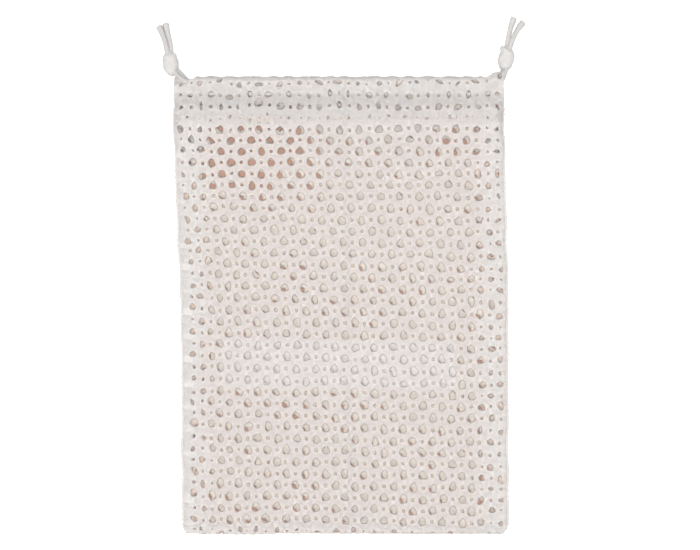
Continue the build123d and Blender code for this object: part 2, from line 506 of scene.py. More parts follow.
class Section:
    """The cloth's middle line from the back's sewn edge, round the bag, to the front's sewn edge."""

    STEP = 0.3 * MM

    def __init__(self):
        runs = self.runs()
        lengths = [travelled(run)[-1] for run in runs.values()]
        self.starts = dict(zip([*runs, "end"], np.cumsum([0.0, *lengths])))
        points = np.concatenate(list(runs.values()))
        apart = np.linalg.norm(np.diff(points, axis=0), axis=1) > 1e-7
        points = points[np.concatenate([[True], apart])]
        self.along = np.arange(0, self.starts["end"], self.STEP)
        line = np.stack([np.interp(self.along, travelled(points), points[:, k]) for k in (0, 1)], 1)
        spread = np.hanning(7) / np.hanning(7).sum()
        middle = np.stack([np.convolve(line[:, k], spread, "same") for k in (0, 1)], 1)
        middle[:4], middle[-4:] = line[:4], line[-4:]
        self.line = middle
        heading = np.gradient(middle, axis=0)
        heading /= np.linalg.norm(heading, axis=1)[:, None]
        self.out = np.stack([-heading[:, 1], heading[:, 0]], 1)

    @staticmethod
    def runs():
        """Each part's own points, in order: y and z."""
        turned = CASING_HEIGHT - PLY / 2
        pressed = BACK_LEVEL + 0.9 * PLY
        fold_radius = (turned - BACK_LEVEL) / 2
        fold_level = BACK_LEVEL + fold_radius
        back = [(HEM, pressed), (HEM_TOP, pressed), (HEM_TOP + 4 * MM, turned), (FOLD_LINE, turned)]
        front = [(y, BAG_THICKNESS - z) for y, z in reversed(back)]
        lower_radius = (FRONT_LEVEL - BACK_LEVEL) / 2
        lower = (BOTTOM_LINE, BACK_LEVEL + lower_radius)
        heights = np.linspace(*SHOULDER, 30)
        shoulder = np.stack([heights, front_level(heights)], 1)
        return {
            "back_turning": np.array(back),
            "back_fold": bend((FOLD_LINE, fold_level), fold_radius, 90, -90),
            "back": np.array([(FOLD_LINE, BACK_LEVEL), (BOTTOM_LINE, BACK_LEVEL)]),
            "bottom": bend(lower, lower_radius, -90, -270),
            "front": np.concatenate([[(BOTTOM_LINE, FRONT_LEVEL)], shoulder, [(FOLD_LINE, OUTER_LEVEL)]]),
            "front_fold": bend((FOLD_LINE, BAG_THICKNESS - fold_level), fold_radius, 90, -90),
            "front_turning": np.array(front),
        }

    def at(self, s):
        """y, z and the outward direction's y and z at a length along the cloth."""
        return [np.interp(s, self.along, column) for column in (*self.line.T, *self.out.T)]

    def between(self, s, start, end):
        """Whether a length along the cloth lies past one part's start and before another's."""
        return (s > self.starts[start]) & (s < self.starts[end])

    def length_at(self, part, y):
        """The length along the cloth at which that part passes a height on the bag."""
        names = list(self.starts)
        low, high = self.starts[part], self.starts[names[names.index(part) + 1]]
        near = (self.along >= low) & (self.along <= high)
        return self.along[near][np.argmin(np.abs(self.line[near, 0] - y))]


SECTION = Section()


def hem_line(x):
    """The middle of the sewn hem, which wanders as it was sewn by hand."""
    left = HEM_DIPS["left"] * falling(x, 20 * MM, 55 * MM)
    right = HEM_DIPS["right"] * rising(x, 78 * MM, 14 * MM)
    return HEM_MIDDLE + left + right + HEM_RISE


def lined_up(x, y):
    """1 where the back's openings lie under the front's, and the table shows through both."""
    total = 0
    for (middle_x, middle_y), (wide, tall), most in ALIGNED:
        away = ((x / MM - middle_x) / wide) ** 2 + ((y / MM - middle_y) / tall) ** 2
        total = total + most * np.exp(-away)
    return ease(total * 1.3)


def on_label(x, y):
    """1 over the label, falling to 0 just past its edges."""
    inside_x = np.minimum(x - LABEL_LOW[0], LABEL_HIGH[0] - x)
    inside_y = np.minimum(y - LABEL_LOW[1], LABEL_HIGH[1] - y)
    return ease(np.minimum(inside_x, inside_y) / (3 * MM) + 1)


def gathered(y):
    """1 in the band between the hem and the cords, where the cloth is gathered up."""
    return rising(y, 114 * MM, 2 * MM) * falling(y, 129 * MM, 3 * MM)


def outward_lean(x, y):
    """How far the cloth's plan is moved across: the lean, and the rounded lower corners."""
    low = np.clip((BOTTOM + CORNER_ROUND - y) / CORNER_ROUND, 0, 1)
    inward = CORNER_ROUND * (1 - np.sqrt(1 - low**2)) * (np.abs(x) / EDGE) ** 8
    edge_wave = 0.35 * MM * ripple(y, 0 * y, 34 * MM, 5) * (np.abs(x) / EDGE) ** 4
    settled = SETTLED * falling(y, 118 * MM, 150 * MM)
    narrowed = NARROWED * x * falling(y, 90 * MM, 150 * MM)
    return settled - LEAN - 0.15 * MM - narrowed - np.sign(x) * inward + edge_wave


def slipped(u, s, y):
    """1 where the back's cells lie off the front's, 0 elsewhere, at its edges and where ALIGNED."""
    middle = 1 - rising(np.abs(u), 78 * MM, 18 * MM)
    ends = rising(s, SECTION.starts["back"], 14 * MM) * falling(s, SECTION.starts["bottom"], 9 * MM)
    return (1 - lined_up(u, y)) * middle * ends * SECTION.between(s, "back", "bottom")


def lowered(x, y, s):
    """How far the cloth moves up the bag: its turnings follow the hem, and its lower end sags."""
    turning = (s < SECTION.starts["back_fold"]) | (s > SECTION.starts["front_turning"])
    shift = (hem_line(x) - HEM_MIDDLE) * falling(y, FOLD_LINE - 2 * MM, 10 * MM)
    hang = falling(x, -35 * MM, 30 * MM) * falling(y, -100 * MM, 30 * MM)
    return np.where(turning, shift, 0) - SAG * falling(y, 30 * MM, 140 * MM) - LEFT_SAG * hang


def swollen(x, y, s, out_z, over):
    """How far the cloth stands off its level: slack, the label under it, and the gathers."""
    slack = ripple(x, y, 60 * MM, 3)
    free = falling(y, TOP - 12 * MM, 20 * MM) * (1 - over) * np.abs(out_z)
    off = np.where(out_z < 0, SLACK["back"] * (1 + slack), SLACK["front"] * slack) * free
    off = off + LABEL_LIFT * on_label(x, y) * (out_z < -0.9)
    gathers = GATHERS * (1 + ripple(x, 0.5 * y, 8 * MM, 21)) * gathered(y)
    return off + gathers * SECTION.between(s, "front", "front_fold")


def cloth(u, s, h):
    """Places a point of the cloth: u across it, s along it, h out from its middle."""
    y, _, _, out_z = SECTION.at(s)
    apart = slipped(u, s, y)
    u, s = u + BACK_SLIP[0] * apart, s + BACK_SLIP[1] * apart
    inner = 1 - (np.abs(u) / CLOTH_EDGE) ** 6
    lower = falling(y, 80 * MM, 60 * MM)
    u = u + inner * WANDER * ripple(u, s, 45 * MM, 1)
    ends = rising(s, 0, 12 * MM) * falling(s, SECTION.starts["end"], 12 * MM)
    skew = SKEW * lower * (u / EDGE) * np.sign(out_z)
    s = s + ends * (WANDER * ripple(u, s, 38 * MM, 2) - skew)
    y, z, out_y, out_z = SECTION.at(s)
    wrap = 1 - rising(y, SEAM_END, 7 * MM)
    over = np.clip((np.abs(u) - EDGE_FLAT) / EDGE_RUN, 0, 1)
    side = np.sign(u)
    crowd = np.clip((-u - 60 * MM) / (35 * MM), 0, 1) ** 1.3
    x = side * (np.minimum(np.abs(u), EDGE_FLAT) + (NET_EDGE - EDGE_FLAT) * over)
    x = x + CROWDED * crowd * lower * (1 - over)
    seam_level = (front_level(y) + BACK_LEVEL) / 2
    z = z + (seam_level - z) * over * wrap * np.abs(out_z)
    y = y + lowered(x, y, s)
    z = z + swollen(x, y, s, out_z, over)
    turn = ease(2 * over) * wrap * math.pi / 4
    x = x + h * np.sin(turn) * side
    y = y + h * out_y * np.cos(turn)
    z = z + h * out_z * np.cos(turn)
    corner = falling(x, -89.5 * MM, 3 * MM) * rising(y, 131.3 * MM, 2.2 * MM)
    z = z - CORNER_DROP * corner * (s > SECTION.starts["front"])
    phase = u * math.pi / (2 * COLUMN_PITCH) + 0.5 * ripple(u, 0 * u, 40 * MM, 8)
    y = y - SCALLOP * (1 - np.abs(np.sin(phase))) * rising(y, FOLD_LINE, TOP_FOLD)
    pulled_up = CORNER_PULL * rising(x, 82 * MM, 17 * MM) * rising(y, 120 * MM, 16 * MM)
    return np.stack([x + outward_lean(x, y), y + pulled_up, np.maximum(z, 0.02 * MM)], -1)


# ---------------------------------------------------------------- the net

HALF_BAR = ((0.0, 0.76), (0.07, 0.76), (0.37, 1.0), (0.74, 0.74))  # share of the way in, and height
BAR = (*HALF_BAR, (1.0, 0.0), *((share, -height) for share, height in reversed(HALF_BAR)))
STEPS = 3  # parts of each side of a cell
ANCHOR = 104.9 * MM  # height on the front at which a row of large openings lies
BACK_ROW = 16  # rows from there down to the bag's middle, where the back's rows start
TILT = (0.06, 0.13)  # an opening's lean in radians: its mean and its spread
PINCH = (0.26, 0.08)  # how much narrower its top is than its middle, as a share
UNEVEN = 0.055  # spread of its outline's lobes
UNEVEN_SIZE = 0.09
OFF_CENTRE = 0.22 * MM
YARN_TURN = 0.45  # the yarn's twist from one edge round a bar to the next
YARN_PACE = (0.75, 0.9)  # and from one step round a small opening and a large one to the next
BAR_SWELL = 0.10


class Net:
    """The net: cells on a lattice, large and small by turns, each a rounded bar round an opening."""

    def __init__(self, settings, part="front"):
        self.pitch = np.array([settings.column_pitch, settings.row_pitch])
        self.corner = self.pitch * CORNER
        self.large = np.array([settings.opening_width, settings.opening_height]) / 2
        self.small = np.array([settings.small_opening, settings.small_opening * 1.1]) / 2
        self.half_ply = settings.thickness / 2
        self.origin = np.array([0.0, SECTION.length_at("front", ANCHOR)])
        if part == "back":
            middle = self.origin[1] - BACK_ROW * self.pitch[1]
            self.origin = np.array([0.0, SECTION.length_at("back", SECTION.at(middle)[0])])

    def outline(self, large):
        """Points round a cell's outside, anticlockwise."""
        a, b = self.corner
        p, q = self.pitch - self.corner
        corners = [(a, -b), (a, b), (-a, b), (-a, -b)]
        if large:
            corners = [(p, -b), (p, b), (a, q), (-a, q), (-p, b), (-p, -b), (-a, -q), (a, -q)]
        corners = np.array(corners)
        following = np.roll(corners, -1, axis=0)
        steps = np.arange(STEPS)[:, None] / STEPS
        return np.concatenate([c + (n - c) * steps for c, n in zip(corners, following)])

    def opening(self, large, outline, centre, size, seed):
        """Points round each cell's opening: a leaning drop, narrow at its top, no two alike."""
        random = np.random.RandomState(seed)
        count = len(centre)
        reach = self.large if large else self.small
        limit = self.pitch - self.corner if large else self.corner
        angle = np.arctan2(outline[:, 1] / limit[1], outline[:, 0] / limit[0])
        tight = 1 - size.min(1, keepdims=True)
        tilt = random.normal(*TILT, (count, 1)) * (1 + 5 * tight)
        pinch = random.normal(*PINCH, (count, 1)) * (1 if large else 0.3)
        grow = size * np.clip(1 + random.normal(0, 1, (count, 2)) * (UNEVEN_SIZE + 0.8 * tight), 0.3, 1.6)
        upright = np.sin(angle) + 0 * tilt
        uneven = 1.0
        for lobes in (2, 3, 5):
            strength = random.normal(0, UNEVEN, (count, 1))
            uneven = uneven + strength * np.cos(lobes * angle + random.uniform(0, 6.3, (count, 1)))
        wide = np.cos(angle) * (1 - pinch * upright) * reach[0] * grow[:, :1] * uneven
        tall = upright * reach[1] * grow[:, 1:] * uneven
        x = wide * np.cos(tilt) - tall * np.sin(tilt)
        y = wide * np.sin(tilt) + tall * np.cos(tilt)
        off = random.normal(0, OFF_CENTRE, (count, 2)) * (1 + 4.5 * tight * (1 if large else 0.4))
        return np.stack([x, y], -1) + (centre + off)[:, None]

    def rows(self, start, end):
        """First and last row whose middle lies in a length of the cloth."""
        low = math.ceil((SECTION.starts[start] - self.origin[1]) / self.pitch[1])
        high = math.ceil((SECTION.starts[end] - self.origin[1]) / self.pitch[1]) - 1
        return low, high

    def window(self, columns, rows, ends, size, seed):
        """The large and the small cells in a window of the lattice: their edges, their openings, and
        the edges' places on the lattice, by which neighbours are joined."""
        grid = np.meshgrid(*(np.arange(low, high + 1) for low, high in (columns, rows)), indexing="ij")
        index = np.stack([g.ravel() for g in grid], 1)
        lasts = ((0, columns[0], -1), (0, columns[1], 1), (1, rows[0], -1), (1, rows[1], 1))
        for large in (True, False):
            chosen = index[(index.sum(1) % 2 == 0) == large]
            centre = chosen * self.pitch + self.origin
            outline = self.outline(large)
            edge = centre[:, None] + outline
            key = np.round((chosen * self.pitch)[:, None] + outline, 7)
            for (axis, last, way), stop in zip(lasts, ends):
                if stop is not None:
                    beyond = way * outline[:, axis] > self.corner[axis] - 1e-7
                    hit = (chosen[:, axis] == last)[:, None] & beyond
                    edge[..., axis] = np.where(hit, stop, edge[..., axis])
            yield edge, self.opening(large, outline, centre, size(centre, large), seed + large), key

    def weave(self, columns, rows, ends, size, place, seed):
        """Points, faces and yarn twist of a window of the lattice. ends are straight edges to end at:
        left, right, low and high, each None where the next piece goes on."""
        cells = list(self.window(columns, rows, ends, size, seed))
        keys = np.concatenate([key.reshape(-1, 2) for _, _, key in cells])
        keys = np.round(keys * 1e7).astype(np.int64)
        _, first, shared = np.unique(keys, axis=0, return_index=True, return_inverse=True)
        shared = shared.ravel()
        edges = np.concatenate([edge.reshape(-1, 2) for edge, _, _ in cells])[first]
        points = [np.column_stack([edges, np.full(len(edges), height)]) for _, height in (BAR[0], BAR[-1])]
        faces, twists, rims = [], [], []
        used, base = 0, 2 * len(edges)
        for edge, hole, _ in cells:
            count, around = edge.shape[:2]
            ids = shared[used:used + count * around].reshape(count, around)
            used += count * around
            layers = [ids]
            for share, height in BAR[1:-1]:
                middle = edge * (1 - share) + hole * share
                points.append(np.column_stack([middle.reshape(-1, 2), np.full(count * around, height)]))
                layers.append(base + np.arange(count * around).reshape(count, around))
                base += count * around
            layers.append(ids + len(edges))
            turn = np.arange(around + 1) * YARN_PACE[around > 4 * STEPS]
            now, later = turn[:-1], turn[1:]
            for level, (outer, inner) in enumerate(zip(layers, layers[1:])):
                quads = np.stack([outer, np.roll(outer, -1, 1), np.roll(inner, -1, 1), inner], -1)
                faces.append(quads.reshape(-1, 4))
                near = YARN_TURN * level
                far = near + YARN_TURN
                corner = np.stack([now + near, later + near, later + far, now + far], -1)
                twists.append(np.broadcast_to(corner, (count, around, 4)).reshape(-1, 4))
            rims.append(np.stack([ids, np.roll(ids, -1, 1)], -1).reshape(-1, 2))
        rims = np.concatenate(rims)
        _, start, uses = np.unique(np.sort(rims, 1), axis=0, return_index=True, return_counts=True)
        p, q = rims[start[uses == 1]].T
        wall = np.stack([p, p + len(edges), q + len(edges), q], 1)
        points = np.concatenate(points)
        swell = 1 + BAR_SWELL * ripple(points[:, 0], points[:, 1], 5 * MM, 11)
        placed = place(points[:, 0], points[:, 1], points[:, 2] * self.half_ply * 0.98 * swell)
        return placed, np.concatenate([*faces, wall]), np.concatenate([*twists, np.zeros((len(wall), 4))])


def opening_sizes(centre, large):
    """How open each cell is: shut along the hem, slits by the top fold, specks in the gathers."""
    x, s = centre.T
    y, _, _, out_z = SECTION.at(s)
    shut = 1 - rising(np.abs(y - hem_line(x)), 3.2 * MM, 1.6 * MM)
    casing = rising(y, 112 * MM, 3 * MM)
    folded = rising(y, 129 * MM, 2 * MM)
    specks = 1 + gathered(y) * (1 - shut) * (0.35 if large else 0.9)
    under = (out_z < 0) & (s > SECTION.starts["back"])
    near_fold = under * rising(s, SECTION.starts["bottom"] - 12 * MM, 5 * MM)
    backed = rising(np.abs(x), 80 * MM, 5 * MM) * (1 - casing) * (out_z > 0)
    low = falling(y, BOTTOM_LINE + 3 * MM, 2 * MM)
    width = (1 - 0.82 * shut) * (1 - casing * (0.50 - 0.24 * folded)) * specks
    width = width * (1 + 0.14 * under * lined_up(x, y)) * (1 - 0.4 * near_fold)
    height = (1 - 0.86 * shut) * (1 - casing * (0.52 + 0.10 * folded)) * specks * (1 - 0.5 * near_fold)
    narrower = np.stack([1 - 0.45 * low, 1 - 0.6 * low], 1)
    return np.stack([width, height], 1) * (1 - 0.32 * backed)[:, None] * narrower


# ---------------------------------------------------------------- making objects


def placed(name, data):
    """An object of that data, in the scene."""
    made = bpy.data.objects.new(name, data)
    bpy.context.scene.collection.objects.link(made)
    return made


def solid(name, made, finish):
    """A mesh object from points, faces and, where it has one, the yarn's twist at its corners."""
    points, faces, *twists = made
    mesh = bpy.data.meshes.new(name)
    mesh.from_pydata(points.tolist(), [], [[v for v in face if v >= 0] for face in faces.tolist()])
    shading = np.full(len(mesh.polygons), True)
    if twists:
        store = mesh.attributes.new("twist", "FLOAT_VECTOR", "CORNER")
        flat = np.zeros((len(mesh.loops), 3), np.float32)
        flat[:, 0] = twists[0].ravel()[:len(flat)]
        store.data.foreach_set("vector", flat.ravel())
        if twists[0].ndim == 2:
            shading &= np.any(twists[0], axis=1)
    mesh.polygons.foreach_set("use_smooth", shading)
    mesh.materials.append(finish)
    mesh.update()
    return placed(name, mesh)


def pulled(piece, side):
    """The piece's placing, baked into its mesh."""
    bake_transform(piece)


def stands_for(piece, node, side=None, body="bag"):
    """The piece takes a node's place. With a side its placing is baked into its mesh, else it rides on a
    body.
    """
    if side:
        pulled(piece, side)
    else:
        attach(piece, body)
    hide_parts(node)


def route(points):
    """A smooth NURBS line through space with those control points, as closely spaced points."""
    curve = bpy.data.curves.new("route", "CURVE")
    curve.dimensions = "3D"
    spline = curve.splines.new("NURBS")
    spline.points.add(len(points) - 1)
    for knot, place in zip(spline.points, points):
        knot.co = (*place, 1)
    spline.order_u = 3
    spline.use_endpoint_u = True
    spline.resolution_u = 24
    carrier = bpy.data.objects.new("route", curve)
    line = bpy.data.meshes.new_from_object(carrier)
    places = np.array([v.co for v in line.vertices])
    bpy.data.objects.remove(carrier)
    bpy.data.curves.remove(curve)
    bpy.data.meshes.remove(line)
    return places


def evenly(line, step):
    """The same line with its points that far apart, and the length along it at each."""
    run = travelled(line)
    along = np.linspace(0, run[-1], max(2, int(round(run[-1] / step)) + 1))
    return np.stack([np.interp(along, run, line[:, k]) for k in range(3)], 1), along


def frames(line):
    """Two directions across the line at each of its points, without twist between them."""
    heading = np.gradient(line, axis=0)
    heading /= np.linalg.norm(heading, axis=1)[:, None]
    side = np.cross(heading[0], (0.0, 0.0, 1.0))
    if np.linalg.norm(side) < 0.1:
        side = np.cross(heading[0], (1.0, 0.0, 0.0))
    across = np.zeros_like(line)
    for k, direction in enumerate(heading):
        side = side - direction * np.dot(side, direction)
        side = side / np.linalg.norm(side)
        across[k] = side
    return across, np.cross(heading, across)


def tube(line, radius, around, relief=None):
    """Points, faces and twist of a tube along a line. relief gives its radius at (angle, length)."""
    run = travelled(line)
    first, second = (side[:, None] for side in frames(line))
    angle = np.arange(around) * 2 * math.pi / around
    reach = np.full((len(line), around), radius)
    if relief:
        reach = relief(angle[None, :], run[:, None])
    ring = first * np.cos(angle)[None, :, None] + second * np.sin(angle)[None, :, None]
    points = (line[:, None] + ring * reach[..., None]).reshape(-1, 3)
    ids = np.arange(len(line) * around).reshape(len(line), around)
    here, there = ids[:-1], ids[1:]
    quads = np.stack([here, np.roll(here, -1, 1), np.roll(there, -1, 1), there], -1).reshape(-1, 4)
    points = np.concatenate([points, line[:1], line[-1:]])
    none = np.full(around, -1)
    low = np.stack([np.roll(ids[0], -1), ids[0], np.full(around, ids.size), none], 1)
    high = np.stack([ids[-1], np.roll(ids[-1], -1), np.full(around, ids.size + 1), none], 1)
    turn = np.arange(around + 1) / around
    length = run / (math.pi * radius)
    near, far = length[:-1, None], length[1:, None]
    corner = [turn[:-1] + near, turn[1:] + near, turn[1:] + far, turn[:-1] + far]
    twist = np.stack(np.broadcast_arrays(*corner), -1).ravel()
    caps = np.zeros(6 * around)
    return points, np.concatenate([quads, low, high]), np.concatenate([twist, caps])


def joined(parts):
    """Several sets of points, faces and twist as one."""
    points, faces, twists, base = [], [], [], 0
    for place, face, twist in parts:
        points.append(place)
        faces.append(np.where(face >= 0, face + base, -1))
        twists.append(np.ravel(twist))
        base += len(place)
    return np.concatenate(points), np.concatenate(faces), np.concatenate(twists)


def fused(piece, voxel, rounds):
    """The piece as one closed skin, with the creases between its strands softened."""
    skin = piece.modifiers.new("skin", "REMESH")
    skin.mode = "VOXEL"
    skin.voxel_size = voxel
    soft = piece.modifiers.new("soft", "SMOOTH")
    soft.factor = 0.5
    soft.iterations = rounds
    graph = bpy.context.evaluated_depsgraph_get()
    whole = bpy.data.meshes.new_from_object(piece.evaluated_get(graph))
    piece.modifiers.clear()
    piece.data = whole
    whole.polygons.foreach_set("use_smooth", [True] * len(whole.polygons))
    return piece


# ---------------------------------------------------------------- the cords

CORD_LEVEL = {"low": CASING_HEIGHT / 2, "high": BAG_THICKNESS - CASING_HEIGHT / 2}

# Along the casing, in millimetres on the bag
CORD_LINE = {"left": 129.7, "right": 126.3}
NEAR_BEND = {"left": -89.0, "right": 91.0}
FAR_TURN = {"left": 90.5, "right": -96.0}
STRAIGHT = 18.0  # from a turn to the straight run

# Outside the casing, from the bag's top corner: out from the side, up, and level over the floor, mm
EXIT = {
    "left": {"high": ((-5.0, -3.0, 11.6), (0.4, 1.0, 6.8)), "low": ((-4.2, -0.2, 3.6), (-0.8, 3.6, 3.6))},
    "right": {"high": ((-3.6, -0.6, 9.4), (-1.3, 6.2, 6.5)), "low": ((-4.6, 0.0, 3.0), (-2.6, 6.6, 3.4))},
}
KNOT = {"left": (4.1, 8.5, 4.85), "right": (-1.6, 11.3, 4.85)}
TAIL = {
    "left": {
        "high": ((5.8, 13.0, 6.2), (6.6, 18.6, 5.8), (8.8, 25.4, 3.3), (11.3, 31.2, 1.9)),
        "low": ((3.8, 13.2, 3.6), (4.1, 19.4, 3.1), (5.9, 26.0, 2.1), (7.4, 32.8, 1.9)),
    },
    "right": {
        "high": ((0.2, 16.2, 6.3), (2.0, 22.3, 5.9), (5.0, 28.4, 3.4), (9.0, 33.6, 1.9)),
        "low": ((-1.4, 16.4, 3.7), (-0.4, 23.0, 3.3), (1.2, 30.0, 2.3), (3.3, 36.2, 1.9)),
    },
}
TAIL_NODE = {
    ("left", "high"): "left_cord_end_1",
    ("left", "low"): "left_cord_end_2",
    ("right", "high"): "right_cord_end_2",
    ("right", "low"): "right_cord_end_1",
}
SHORTEST_STRAND = 30 * MM
LOOP_SIDES, STRAND_SIDES = 20, 26

KNOT_LEAN = {"left": 9.0, "right": -9.0}  # degrees
KNOT_LENGTH = 16.2 * MM
KNOT_WIDTH = 9.9 * MM
KNOT_FLAT = 0.93  # the knots lie a little flattened on the floor
KNOT_VOXEL = 0.3 * MM
LAST_TURN_IN = {"left": 1.32, "right": 1.08}  # how deep the knot's last turn lies, in radii
BAND_TILT = {"left": 2.0, "right": -28.0}  # and its slant, in degrees

BRAID_PITCH = 2.1 * MM  # from one crossing of its strands to the next
FRAY = 9 * MM  # how far up from its cut end a cord loosens


def from_corner(side, place):
    """A point given out, up and level from the bag's top corner, in metres."""
    out, up, level = place
    return (SIDES[side] * (EDGE + out * MM), TOP + up * MM, level * MM)


def in_casing(side, x, level):
    """A point on a side's cord line inside the upper or the lower casing, in metres."""
    return (x * MM, CORD_LINE[side] * MM, CORD_LEVEL[level])


def joining_point(side, level):
    """Where a cord's free strand goes on from its loop, half way from the casing to the corner."""
    inner = in_casing(side, NEAR_BEND[side], level)
    outer = from_corner(side, EXIT[side][level][0])
    return tuple((a + b) / 2 for a, b in zip(inner, outer))


def loop_points(side):
    """A cord's way through one casing, round the far corner and back through the other."""
    near, far = NEAR_BEND[side], FAR_TURN[side]
    inward = -SIDES[side]
    runs = (near, near + inward * STRAIGHT, far - inward * STRAIGHT, far)
    high = [in_casing(side, x, "high") for x in runs]
    low = [in_casing(side, x, "low") for x in reversed(runs)]
    return [joining_point(side, "high"), *high, *low, joining_point(side, "low")]


def strand_points(side, level):
    """A free strand: out of the casing, through the knot and on to its cut end."""
    out, up, middle = KNOT[side]
    inside = (out, up, middle + (1.0 if level == "high" else -1.0))
    way = (*EXIT[side][level], inside, *TAIL[side][level])
    return [joining_point(side, level), *(from_corner(side, place) for place in way)]


def braided(radius, length=None):
    """A braid's radius at an angle and a length: two sets of strands crossing, and a cut end."""

    def relief(angle, run):
        one = np.abs(np.cos(3 * angle + run * math.pi / BRAID_PITCH))
        other = np.abs(np.cos(3 * angle - run * math.pi / BRAID_PITCH))
        reach = radius * (0.9 + 0.1 * np.maximum(one, other))
        if length:
            fray = rising(run, length - FRAY, 8 * MM)
            reach = reach * (1 + fray * (0.30 + 0.07 * np.cos(7 * angle + 900 * run)))
            reach = reach * (1 - 0.3 * rising(run, length - 0.5 * MM, 0.5 * MM))
        return reach

    return relief


def knot_mesh(side, radius):
    """The pulled overhand knot: a full body of two twisted turns, and the last turn round its top."""
    centre = np.array(from_corner(side, KNOT[side]))
    lean = math.radians(KNOT_LEAN[side])
    axis = np.array((-math.sin(lean), math.cos(lean), 0.0))
    across = np.array((math.cos(lean), math.sin(lean), 0.0))
    upward = np.array((0.0, 0.0, KNOT_FLAT))
    half, wide = KNOT_LENGTH / 2, KNOT_WIDTH / 2
    body = centre + np.outer(np.linspace(-1, 1, 70) * half, axis)

    def girth(angle, run):
        share = run / half - 1
        full = wide * np.clip(1 - np.abs(share) ** 2.3, 0.03, 1) ** 0.55
        lumps = 0.05 * np.cos(2 * angle + 3.4 * share) + 0.02 * np.cos(5 * angle - 9 * share)
        slim = 0.09 * share + 0.14 * np.clip(share, 0, 1) ** 2
        return KNOT_FLAT * full * (1 + lumps - slim)

    turn = np.linspace(0, 2.25 * math.pi, 80)
    tilt = math.tan(math.radians(BAND_TILT[side]))
    ring = (wide - radius * LAST_TURN_IN[side]) * (1 - 0.04 * turn / math.pi)
    along = half * 0.40 + ring * np.cos(turn) * tilt + 0.5 * MM * turn / math.pi
    line = centre + np.outer(ring * np.cos(turn), across) + np.outer(ring * np.sin(turn), upward)
    last_turn = tube(line + np.outer(along, axis), radius * 1.05, 16)
    return joined([tube(body, wide, 36, girth), last_turn])[:2]


# ---------------------------------------------------------------- operators

SKY = 0.44  # how much light the sky gives, where the camera sees it as white
SENSOR = 36  # the camera's width, in millimetres
LOOKED_AT = (4.2 * MM, 17.6 * MM)  # the point of the floor under the camera
FLOOR_REACH = 3.0
KEY = {"energy": 0.90, "color": (1.0, 0.985, 0.965), "angle": math.radians(20)}
KEY_PLACE = (-0.25, -0.50, 1.0)  # from the lower left
FLASH = {"shape": "DISK", "size": 0.10, "energy": 12.6}
FLASH_RISE = 0.1  # over the camera


class BAG_OT_stage(bpy.types.Operator):
    """Camera straight over the bag, a pale floor, a sun from the lower left, a lamp by the camera"""

    bl_idname = "produce_bag.stage"
    bl_label = "Stage"

    def execute(self, context):
        scene = context.scene
        settings = scene.bag_stage
        camera = placed("camera", bpy.data.cameras.new("camera"))
        camera.data.lens = settings.lens
        camera.data.sensor_width = SENSOR
        camera.location = (*LOOKED_AT, settings.view_width * settings.lens / SENSOR)
        scene.camera = camera
        corners = FLOOR_REACH * np.array([(-1.0, -1, 0), (1, -1, 0), (1, 1, 0), (-1, 1, 0)])
        solid("floor", (corners, np.array([(0, 1, 2, 3)])), table_finish(settings))
        sun = self.lamp("key", "SUN", KEY_PLACE, KEY)
        sun.rotation_euler = (-Vector(KEY_PLACE)).to_track_quat("-Z", "Y").to_euler()
        self.lamp("flash", "AREA", camera.location + Vector((0, 0, FLASH_RISE)), FLASH)
        scene.world = bpy.data.worlds.new("sky")
        sky = Tree(scene.world, "Background")
        sky.feed(sky.shader.inputs["Color"], WHITE)
        sky.feed(sky.shader.inputs["Strength"], sky.camera_ray() * (1.0 - SKY) + SKY)
        scene.view_settings.view_transform = "Standard"
        return {"FINISHED"}

    @staticmethod
    def lamp(name, kind, place, settings):
        """A lamp of a kind at a place, with its own settings."""
        made = placed(name, bpy.data.lights.new(name, kind))
        made.location = place
        for key, value in settings.items():
            setattr(made.data, key, value)
        return made


class BAG_OT_cords(bpy.types.Operator):
    """Both drawcords: a loop through the casings each, two free strands and a knot"""

    bl_idname = "produce_bag.cords"
    bl_label = "Drawcords"

    def execute(self, context):
        settings = context.scene.bag_cord
        radius = settings.diameter / 2
        finish = cord_finish(tuple(settings.cotton))
        for side in SIDES:
            body = f"{side}_drawcord"
            line, _ = evenly(route(loop_points(side)), 0.5 * MM)
            loop = solid(f"{side}_cord_loop", tube(line, radius, LOOP_SIDES, braided(radius)), finish)
            stands_for(loop, body, body=body)
            knot = fused(solid(f"{side}_overhand_knot", knot_mesh(side, radius), finish), KNOT_VOXEL, 5)
            stands_for(knot, f"{side}_knot", body=body)
            for level in ("high", "low"):
                line, along = evenly(route(strand_points(side, level)), 0.3 * MM)
                if along[-1] < SHORTEST_STRAND:
                    raise RuntimeError(f"the {side} {level} strand is only {along[-1]:.3f} m long")
                made = tube(line, radius, STRAND_SIDES, braided(radius, along[-1]))
                strand = solid(f"{side}_strand_{level}", made, finish)
                stands_for(strand, TAIL_NODE[side, level], body=body)
                from_corner(side, EXIT[side][level][0])
        return {"FINISHED"}


